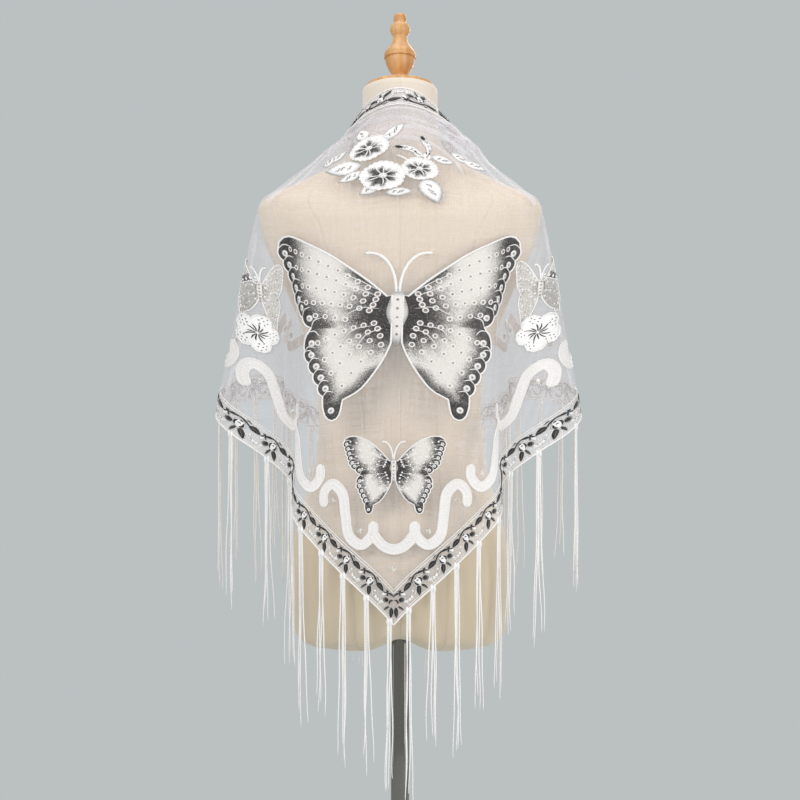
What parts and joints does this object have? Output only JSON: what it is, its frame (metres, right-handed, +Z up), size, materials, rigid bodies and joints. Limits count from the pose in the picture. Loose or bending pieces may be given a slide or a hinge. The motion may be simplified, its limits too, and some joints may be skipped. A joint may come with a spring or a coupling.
{
  "type": "triangle scarf on a limbless dress form",
  "caption": "Sheer triangular scarf with butterfly appliques, scroll braid and long fringe, worn round the neck of a linen covered dress form on a round foot.",
  "frame": {"origin": "centre of the stand base's flat underside, on the pole's axis", "axes": "+Z up, +Y towards the form's front, where the scarf is open; its point hangs at the back, towards -Y; +X to the right of the picture of the back"},
  "size_m": [0.5103, 0.32, 1.6509],
  "materials": {
    "sheer_cloth": "sheer white organza",
    "trim_band": "woven black and white flower band with corded edges",
    "fringe_thread": "white rayon thread",
    "braid": "flat white corded braid",
    "dark_satin": "dark satin with white outlines",
    "linen": "natural linen stretched over a firm body",
    "wood": "lacquered turned wood",
    "steel": "chrome plated steel"
  },
  "bodies": {
    "root": {"scarf_back": "sheer_cloth", "scarf_left": "sheer_cloth", "scarf_right": "sheer_cloth", "trim_neck": "trim_band", "trim_left": "trim_band", "trim_right": "trim_band", "fringe_left": "fringe_thread", "fringe_right": "fringe_thread", "butterfly_large": "dark_satin", "butterfly_small": "dark_satin", "butterfly_side_left": "dark_satin", "butterfly_side_right": "dark_satin", "flower_left": "braid", "flower_right": "braid", "spray_left": "dark_satin", "spray_right": "dark_satin", "scroll_centre": "braid", "scroll_left_1": "braid", "scroll_left_2": "braid", "scroll_left_3": "braid", "scroll_left_4": "braid", "scroll_left_5": "braid", "scroll_left_6": "braid", "scroll_right_1": "braid", "scroll_right_2": "braid", "scroll_right_3": "braid", "scroll_right_4": "braid", "scroll_right_5": "braid", "scroll_right_6": "braid", "form_torso": "linen", "neck_cap": "wood", "finial": "wood", "stand_pole": "steel", "stand_base": "steel"}
  },
  "joints": []
}
